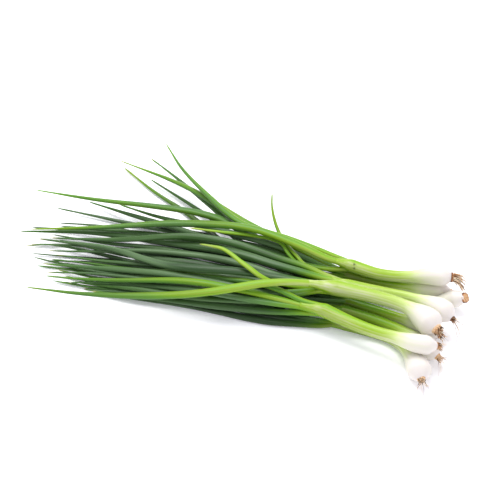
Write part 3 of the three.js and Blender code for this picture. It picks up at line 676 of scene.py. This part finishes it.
class OnionSizes(bpy.types.PropertyGroup):
    """Fineness of the modelled pieces, and how they join."""

    leaf_sides: count_setting("Leaf sides", "Faces round a leaf", 16, 6)
    leaf_stations: count_setting("Leaf stations", "Rings along a leaf", 80, 8)
    bulb_sides: count_setting("Bulb sides", "Faces round a bulb", 40, 8)
    bulb_stations: count_setting("Bulb stations", "Rings along bulb and shank", 90, 8)
    sheath_run: length_setting("Sheath run", "How far past the mouth a sheath follows its leaf", 0.015)
    leaf_root: length_setting("Leaf root", "How deep in the shank a leaf starts", 0.016)


class StageSettings(bpy.types.PropertyGroup):
    """Camera and studio."""

    azimuth: angle_setting("Azimuth", "Camera's turn towards the bulbs", 12)
    elevation: angle_setting("Elevation", "Camera's height above the floor", 42)
    distance: length_setting("Distance", "From the camera to the bunch", 1.065)
    lens: bpy.props.FloatProperty(name="Lens", description="Focal length in millimetres", default=85.0)
    lift: share_setting("Lift", "Shift that puts the bunch a little below the middle", 0.024)


# Greening

# Up the shank, by millimetres from the root plate, with the last value at the mouth. An onion's own
# greenness sets in between two marks.
SHANK_MARKS = [0.0, 22.0, 34.0, 48.0, 64.0]
SHANK_GREENING = [0.0, 0.05, 0.17, 0.29, 0.36, 0.42]
OWN_GREEN_MARKS = [20, 60]

# Millimetres past the mouth in which the ripest leaf turns green, and how many more the palest would take.
RIPENS_WITHIN = 60
RIPENS_LATER = 330

# How steeply a nick's scar grows from its edge inwards.
NICK_STEEPNESS = 1.8


def greening_up_shank(along, length, onion):
    """Greening by distance from the root plate, for bulb and shank."""
    own_green = np.interp(along, OWN_GREEN_MARKS, [1, onion.shank_green])
    return np.interp(along, [*SHANK_MARKS, length], SHANK_GREENING) * own_green


def greening_up_leaf(past_mouth, onion, leaf):
    """Greening by distance past the mouth, up to the leaf's own ripeness."""
    start = SHANK_GREENING[-1] * onion.shank_green
    run = RIPENS_WITHIN + RIPENS_LATER * (1 - leaf.ripeness)
    run = SLOW_LEAVES.get((onion.name, onion.leaves.index(leaf)), run)
    return start + (leaf.ripeness - start) * eased(np.clip(past_mouth / run, 0, 1))


def nick_depth(nick, along, around, radius):
    """How deep in a nick a place on the skin is, from 0 outside it to 1, by millimetres along and around."""
    away = (around - math.radians(nick.turn) * radius) / nick.width
    outwards = math.hypot(away, (along - nick.along) / nick.length)
    return min(1.0, max(0.0, NICK_STEEPNESS - NICK_STEEPNESS * outwards))


def heap_shade(centre, open_height):
    """How much painted heap shade places get: 1 on the floor, 0 from the open height upwards."""
    return np.clip(1 - centre[:, 2] / open_height, 0, 1)


# Pieces

def mouth_places(number):
    """Where each leaf of an onion stands in the mouth: spread round it in the order they lean."""
    onion = ONIONS[number]
    route = spine_route(number)
    mouth, inner = route.at([route.length, route.length - MOUTH_RUN])
    side, up = axes_across(unit(mouth - inner))
    rods = leaf_rods(number)
    leans = []
    for rod in rods:
        away = rod.points[1] - mouth
        leans.append(math.atan2(away @ up, away @ side))
    order = np.argsort(leans)
    turns = np.empty(len(rods))
    turns[order] = np.arange(len(rods)) * 2 * math.pi / len(rods)
    drift = np.angle(np.exp(1j * (np.array(leans) - turns)).sum())
    places = []
    for rod, turn in zip(rods, turns + drift):
        out = max(0.0, onion.mouth - MOUTH_WALL - rod.radii[0])
        places.append((side * math.cos(turn) + up * math.sin(turn)) * out)
    return places


def leaf_route(number, place, root_depth):
    """A leaf's route from inside the shank to its tip."""
    route = spine_route(number)
    out = mouth_places(number)[place]
    rod = leaf_rods(number)[place]
    inside = route.at([route.length - root_depth, route.length - root_depth / 2, route.length])
    inside = inside + np.outer(WAY_OUT, out)
    return Route(np.vstack([inside, rod.points[1:]]))


def leaf_section(radii, flatness, channel):
    """Outline of a flattened leaf whose upper side is hollowed a little into a channel."""
    def outline(ring, angle):
        x, y = math.cos(angle), math.sin(angle)
        if y > 0:
            y -= channel[ring] * math.exp(-(x / CHANNEL_SPREAD) ** 2)
        return radii[ring] * x, radii[ring] * flatness[ring] * y
    return outline


class ONION_OT_leaves(bpy.types.Operator):
    """Grow the leaves of every onion out of its shank"""

    bl_idname = "onion.leaves"
    bl_label = "Leaves"

    # Millimetres: what a thin leaf gains on its solid and a full one towards its tip, how far past the mouth
    # a leaf flattens and hollows, and the height above which it gets no painted heap shade.
    THIN_GAIN = 0.45
    TIP_GAIN = 0.35
    FLATTENS_WITHIN = 20
    HOLLOWS_WITHIN = 30
    OPEN_HEIGHT = 19
    # Shares of a leaf's width: its channel's depth, its tip, and how much it swells and shrinks.
    CHANNEL_DEPTH = 0.12
    TIP_WIDTH = 0.12
    WAVINESS = 0.05
    # Shares of a leaf's length, from its tip back: the tip itself, and where channel and painted shade fade.
    TIP_LENGTH = 0.035
    CHANNEL_FADE = 0.5
    SHADE_FADE = 0.4
    # Drawn for each leaf: radians of swelling and shrinking along it, of roll at the mouth and of twist up
    # to the tip, how much riper or paler it grows, how far its tip fades and how late, and its dry share.
    WAVE_RUN = (9, 20)
    ROLL = (-0.25, 0.25)
    TWIST = (-0.7, 0.7)
    TONE = (-0.1, 0.08)
    FADE = (0.02, 0.3)
    FADE_POWER = 5
    DRY_TIPS = [0.0, 0.0, 0.012, 0.03]
    DRYNESS = 0.85

    def add_leaf(self, mesh, draw, sizes, number, place):
        """One leaf, from inside the shank to its tip."""
        onion, root_depth = ONIONS[number], sizes.leaf_root / MM
        leaf = onion.leaves[place]
        route = leaf_route(number, place, root_depth)
        distance = np.linspace(0, 1, sizes.leaf_stations) * route.length
        past_mouth = distance - root_depth
        share = np.clip(past_mouth / (route.length - root_depth), 0, 1)
        radii = leaf_radius(share, leaf.half_width)
        is_thin = leaf.half_width < THIN_LEAF_RADIUS
        radii = radii + (self.THIN_GAIN if is_thin else self.TIP_GAIN * share)
        wave = np.sin(share * draw.uniform(*self.WAVE_RUN) + draw.uniform(*WAVE_START))
        radii = radii * (1 + self.WAVINESS * wave)
        tip = np.clip((1 - share) / self.TIP_LENGTH, 0, 1)
        radii = radii * (self.TIP_WIDTH + (1 - self.TIP_WIDTH) * np.sqrt(tip))
        flatness = 1 - (1 - LEAF_FLATNESS) * np.clip(past_mouth / self.FLATTENS_WITHIN, 0, 1)
        channel = self.CHANNEL_DEPTH * np.clip(past_mouth / self.HOLLOWS_WITHIN, 0, 1)
        channel = channel * np.clip((1 - share) / self.CHANNEL_FADE, 0, 1)
        roll = draw.uniform(*self.ROLL) + draw.uniform(*self.TWIST) * share
        tone, fade = draw.uniform(*self.TONE), draw.uniform(*self.FADE)
        greening = greening_up_leaf(np.maximum(past_mouth, 0), onion, leaf)
        greening = greening + tone * share - fade * share ** self.FADE_POWER
        dry = draw.choice(self.DRY_TIPS)
        dryness = np.clip((share - 1 + dry) / max(dry, HAIRBREADTH), 0, 1) * self.DRYNESS
        centre = route.at(distance)
        # Painted shade on the parts of a leaf that lie low in the heap, fading towards its tip.
        shelter = heap_shade(centre, self.OPEN_HEIGHT) * np.clip((1 - share) / self.SHADE_FADE, 0, 1)
        traits = {"greening": greening, "dryness": dryness, "shelter": shelter}
        add_tube(mesh, centre, leaf_section(radii, flatness, channel), sizes.leaf_sides, roll, traits)

    def execute(self, context):
        sizes, look = context.scene.onion_sizes, context.scene.onion_look
        material = grown_skin("satin green leaf with waxy bloom", look.leaf_roughness,
                              subsurface=0.08, look=look)
        draw = np.random.default_rng(7)
        for number, onion in enumerate(ONIONS):
            mesh = bmesh.new()
            for place in range(len(onion.leaves)):
                self.add_leaf(mesh, draw, sizes, number, place)
            finish_piece(mesh, f"{onion.name}_leaves", material)
        return {"FINISHED"}


class ONION_OT_bulbs(bpy.types.Operator):
    """Grow the bulb and shank of every onion, with the outer sheath running onto its leaf"""

    bl_idname = "onion.bulbs"
    bl_label = "Bulbs and shanks"

    # Millimetres: how loosely the sheath lies on its leaf, the height above which a shank gets no painted
    # heap shade, and how far up it that painted shade starts and is full.
    SHEATH_SLACK = 0.25
    OPEN_HEIGHT = 16
    SHADE_STARTS = 40
    SHADE_FULL = 80
    # Share by which rings lie closer together at the bulb than evenly.
    CROWDING = 0.35
    # A painted highlight makes a shank paler on the side turned this way, towards the light, by that share,
    # and painted shade makes it greener on the other side.
    PAINTED_HIGHLIGHT_SIDE = math.radians(82)
    PAINTED_HIGHLIGHT = 0.2
    PAINTED_UNDER_SHADE = 0.5
    # How far a bulb is from round, in shares of its radius: a little oval and three-sided, with fine ridges
    # that wind up the onion by some radians a millimetre.
    OVAL = 0.02
    THREE_SIDED = 0.012
    RIDGES = 14
    RIDGE_HEIGHT = 0.006
    RIDGE_WINDING = 0.02

    def add_bulb(self, mesh, draw, sizes, number):
        """One bulb and shank, with the sheath that runs on along the onion's first leaf."""
        onion, root_depth = ONIONS[number], sizes.leaf_root / MM
        spine = spine_route(number)
        leaf_way = leaf_route(number, 0, root_depth)
        run = LONG_SHEATHS.get(onion.name, sizes.sheath_run / MM)
        steps = np.linspace(0, 1, sizes.bulb_stations)
        along = (spine.length + run) * (self.CROWDING * steps ** 2 + (1 - self.CROWDING) * steps)
        past_mouth = np.clip(along - spine.length, 0, None)
        blend = eased(np.clip(past_mouth / run, 0, 1))
        on_spine = spine.at(np.minimum(along, spine.length))
        on_leaf = leaf_way.at(root_depth + past_mouth)
        mouth_offset = leaf_way.at([root_depth])[0] - spine.at([spine.length])[0]
        centre = np.where((along <= spine.length)[:, None], on_spine,
                          on_leaf - mouth_offset * (1 - blend)[:, None])
        share = past_mouth / (leaf_way.length - root_depth)
        own = spine_radius(along, spine.length, onion, ROOT_NECK)
        leaf = leaf_radius(share, onion.leaves[0].half_width) + self.SHEATH_SLACK
        radii = own * (1 - blend) + leaf * blend
        waves = draw.uniform(*WAVE_START, 3)
        flatness = 1 - (1 - LEAF_FLATNESS) * blend

        def outline(ring, angle):
            swell = (1 + self.OVAL * math.cos(2 * angle + waves[0])
                     + self.THREE_SIDED * math.cos(3 * angle + waves[1]))
            winding = self.RIDGES * angle + waves[2] + along[ring] * self.RIDGE_WINDING
            radius = radii[ring] * swell * (1 + self.RIDGE_HEIGHT * math.cos(winding))
            return radius * math.cos(angle), radius * math.sin(angle) * flatness[ring]

        greening = greening_up_shank(along, spine.length, onion)
        beyond = greening_up_leaf(past_mouth, onion, onion.leaves[0])
        greening = np.where(along > spine.length, beyond, greening)

        def greening_with_painted_light(ring, angle):
            """Painted highlight and shade: a shank is paler along its top and greener underneath."""
            top = math.cos(angle - self.PAINTED_HIGHLIGHT_SIDE)
            under = max(0.0, -top) * (1 - greening[ring])
            return greening[ring] * (1 - self.PAINTED_HIGHLIGHT * max(0.0, top) + self.PAINTED_UNDER_SHADE * under)

        nicks = [nick for nick in SKIN_NICKS if nick.onion == onion.name]

        def scar(ring, angle):
            around = angle * radii[ring]
            return max((nick_depth(nick, along[ring], around, radii[ring]) for nick in nicks), default=0.0)

        # Painted shade on a shank's upper part where it lies low in the heap.
        shaded = np.interp(along, [self.SHADE_STARTS, self.SHADE_FULL], [0, 1])
        traits = {"greening": greening_with_painted_light, "dryness": np.zeros(len(along)), "scar": scar,
                  "shelter": heap_shade(centre, self.OPEN_HEIGHT) * shaded}
        add_tube(mesh, centre, outline, sizes.bulb_sides, 0.0, traits)

    def execute(self, context):
        sizes, look = context.scene.onion_sizes, context.scene.onion_look
        material = grown_skin("moist white bulb skin", look.bulb_roughness, subsurface=0.25, look=look)
        draw = np.random.default_rng(11)
        for number, onion in enumerate(ONIONS):
            mesh = bmesh.new()
            self.add_bulb(mesh, draw, sizes, number)
            finish_piece(mesh, f"{onion.name}_bulb", material)
        return {"FINISHED"}


# A kind of root: points along it, how far it spreads outwards in shares of its length, its radius in
# millimetres, how much younger than the tuft it looks, and how much older its cut end is.
Fibre = namedtuple("Fibre", "points spread radius younger cut_age")


class ONION_OT_roots(bpy.types.Operator):
    """Grow the root plate and the trimmed roots of every onion"""

    bl_idname = "onion.roots"
    bl_label = "Roots"

    # Millimetres along the onion: where the plate starts inside it and ends, and its rounding.
    PLATE_FROM = -1.2
    PLATE_TO = 1.3
    PLATE_ROUNDING = 2.8
    # How dark the plate's rim starts, cut off at 1, and the millimetres over which it loses 1 of that.
    RIM_START = 1.35
    RIM_FADE = 1.7
    PLATE_RINGS = 9
    PLATE_SIDES = 24
    # How far the plate is from round, in shares of its radius, and the way that a leaning one leans.
    UNEVEN = 0.07
    FRONT_AND_UP = np.array([0, -0.7, 0.7])
    # Roots stand in the turns of a sunflower's seeds, some millimetres from the plate's edge and up it.
    TURN = math.pi * (3 - math.sqrt(5))
    EDGE_MARGIN = 0.5
    FIBRE_START = 0.8
    FIBRE_SIDES = 6
    HAIR = Fibre(8, (0.25, 0.9), (0.12, 0.2), 0.2, 0)
    STUB = Fibre(5, (0.0, 0.4), (0.3, 0.58), 0, 0.15)
    # A root's curl in shares of its length and in radians, how late it spreads, how much it thins, the ages
    # of dead ones and how far live ones depart from their tuft's.
    CURL = 0.12
    CURL_RUN = 4
    SPREAD_POWER = 1.6
    THINNING = 0.5
    DEAD = (0.72, 1.0)
    LIVE = (-0.2, 0.2)

    def add_plate(self, mesh, tuft, base, out):
        """The domed root plate, darker round its rim."""
        depth = np.linspace(self.PLATE_FROM, self.PLATE_TO, self.PLATE_RINGS)
        rounding = ((depth - self.PLATE_FROM) / self.PLATE_ROUNDING) ** 2
        dome = tuft.plate * np.sqrt(np.clip(1 - rounding, 0, 1))
        rim = np.clip(self.RIM_START - (depth - depth[0]) / self.RIM_FADE, 0, 1)

        def outline(ring, angle):
            return (dome[ring] * math.cos(angle) * (1 + self.UNEVEN * math.cos(5 * angle)),
                    dome[ring] * math.sin(angle) * (1 + self.UNEVEN * math.cos(3 * angle)))

        traits = {"age": tuft.tone + tuft.rim * rim}
        add_tube(mesh, base + np.outer(depth, out), outline, self.PLATE_SIDES, 0.0, traits)

    def add_fibre(self, mesh, draw, tuft, kind, length, start, out, outward):
        """One root, which grows out of the plate, spreads outwards and bends down towards the floor."""
        long = draw.uniform(*length)
        spread = draw.uniform(*kind.spread) * long
        shares = np.linspace(0, 1, kind.points)
        line = (start + np.outer(self.FIBRE_START + long * shares, out)
                + np.outer(spread * shares ** self.SPREAD_POWER, outward))
        curl = draw.uniform(-self.CURL, self.CURL, 3) * long
        line += np.outer(np.sin(shares * self.CURL_RUN) * shares, curl)
        line[:, 2] -= long * tuft.droop * shares ** 2
        radii = draw.uniform(*kind.radius) * (1 - self.THINNING * shares)
        line[:, 2] = np.maximum(line[:, 2], radii + FLOOR_CLEARANCE)
        is_dead = draw.random() < tuft.dark
        age = draw.uniform(*self.DEAD) if is_dead else tuft.tone + draw.uniform(*self.LIVE) - kind.younger
        age = age + kind.cut_age * shares ** 3

        def outline(ring, angle):
            return radii[ring] * math.cos(angle), radii[ring] * math.sin(angle)

        add_tube(mesh, line, outline, self.FIBRE_SIDES, 0.0, {"age": age})

    def execute(self, context):
        material = dry_root("dry fibrous root")
        draw = np.random.default_rng(5)
        for number, (onion, tuft) in enumerate(zip(ONIONS, ROOT_TUFTS)):
            base, inner = spine_route(number).at([0, BASE_RUN])
            out = unit(unit(base - inner) + self.FRONT_AND_UP * tuft.lean)
            side, up = axes_across(out)
            mesh = bmesh.new()
            self.add_plate(mesh, tuft, base, out)
            for n in range(tuft.stubs + tuft.hairs):
                turn = n * self.TURN
                place = (n % tuft.stubs + 0.5) / tuft.stubs
                outward = side * math.cos(turn) + up * math.sin(turn)
                off = (tuft.plate - self.EDGE_MARGIN) * math.sqrt(place)
                kind, length = (self.STUB, tuft.stub) if n < tuft.stubs else (self.HAIR, tuft.hair)
                self.add_fibre(mesh, draw, tuft, kind, length, base + outward * off, out, outward)
            finish_piece(mesh, f"{onion.name}_roots", material)
        return {"FINISHED"}


# Stage

class ONION_OT_stage(bpy.types.Operator):
    """Set up the pale floor, the soft light and the camera"""

    bl_idname = "onion.stage"
    bl_label = "Stage"

    # The camera looks at the drawing frame's origin, a little above the floor.
    TARGET = Vector((*ORIGIN_SHIFT[:2], 8)) * MM
    # Half the floor's width in metres, and the strength of its own glow and of the light all round.
    FLOOR_HALF = 6.0
    FLOOR_GLOW = 0.12
    AIR_LIGHT = 0.86
    # Each lamp's place, width and power, in metres and watts.
    LIGHTS = {"key_softbox": ((-0.25, 0.55, 1.35), 1.2, 23.0), "front_fill": ((0.5, -1.2, 0.9), 1.4, 4.0)}

    def add_light(self, name, place, size, power):
        light = bpy.data.lights.new(name, "AREA")
        light.shape = "DISK"
        light.size = size
        light.energy = power
        lamp = bpy.data.objects.new(name, light)
        lamp.matrix_world = (Matrix.Translation(place)
                             @ (self.TARGET - Vector(place)).to_track_quat("-Z", "Y").to_matrix().to_4x4())
        bpy.context.scene.collection.objects.link(lamp)

    def execute(self, context):
        settings, scene = context.scene.onion_stage, context.scene
        mesh = bmesh.new()
        bmesh.ops.create_grid(mesh, x_segments=1, y_segments=1, size=self.FLOOR_HALF)
        data = bpy.data.meshes.new("studio_floor")
        mesh.to_mesh(data)
        mesh.free()
        floor = bpy.data.objects.new("studio_floor", data)
        scene.collection.objects.link(floor)
        material, add = new_material("matt white floor")
        shader = add("BsdfPrincipled", {
            "Base Color": linear("#fdfdfd"), "Roughness": 0.9, "Specular IOR Level": 0.2,
            "Emission Color": linear("#f3f1ff"), "Emission Strength": self.FLOOR_GLOW,
        })
        add("OutputMaterial", Surface=shader)
        data.materials.append(material)

        world = bpy.data.worlds.new("studio air")
        world.use_nodes = True
        air = world.node_tree.nodes["Background"].inputs
        air["Color"].default_value = linear("#f6f5ff")
        air["Strength"].default_value = self.AIR_LIGHT
        scene.world = world
        for name, (place, size, power) in self.LIGHTS.items():
            self.add_light(name, place, size, power)
        scene.view_settings.view_transform = "Standard"

        camera = bpy.data.objects.new("camera", bpy.data.cameras.new("camera"))
        back = Vector((math.sin(settings.azimuth) * math.cos(settings.elevation),
                       -math.cos(settings.azimuth) * math.cos(settings.elevation),
                       math.sin(settings.elevation)))
        camera.matrix_world = (Matrix.Translation(self.TARGET + back * settings.distance)
                               @ back.to_track_quat("Z", "Y").to_matrix().to_4x4())
        camera.data.lens = settings.lens
        camera.data.shift_y = settings.lift
        scene.collection.objects.link(camera)
        scene.camera = camera
        return {"FINISHED"}


class ONION_PT_panel(bpy.types.Panel):
    """Steps that dress the bunch"""

    bl_label = "Spring Onions"
    bl_idname = "ONION_PT_panel"
    bl_space_type = "VIEW_3D"
    bl_region_type = "UI"
    bl_category = "Spring Onions"

    def draw(self, context):
        for step in STEPS:
            self.layout.operator(step.bl_idname)


STEPS = [ONION_OT_stage, ONION_OT_bulbs, ONION_OT_leaves, ONION_OT_roots]
SETTINGS = {"onion_look": OnionLook, "onion_sizes": OnionSizes, "onion_stage": StageSettings}
CLASSES = [*SETTINGS.values(), *STEPS, ONION_PT_panel]


def register():
    for cls in CLASSES:
        bpy.utils.register_class(cls)
    for name, group in SETTINGS.items():
        setattr(bpy.types.Scene, name, bpy.props.PointerProperty(type=group))


def unregister():
    for name in SETTINGS:
        delattr(bpy.types.Scene, name)
    for cls in reversed(CLASSES):
        bpy.utils.unregister_class(cls)


def main():
    register()
    bpy.ops.onion.stage()
    bpy.ops.onion.bulbs()
    bpy.ops.onion.leaves()
    bpy.ops.onion.roots()


if __name__ == "__main__":
    main()
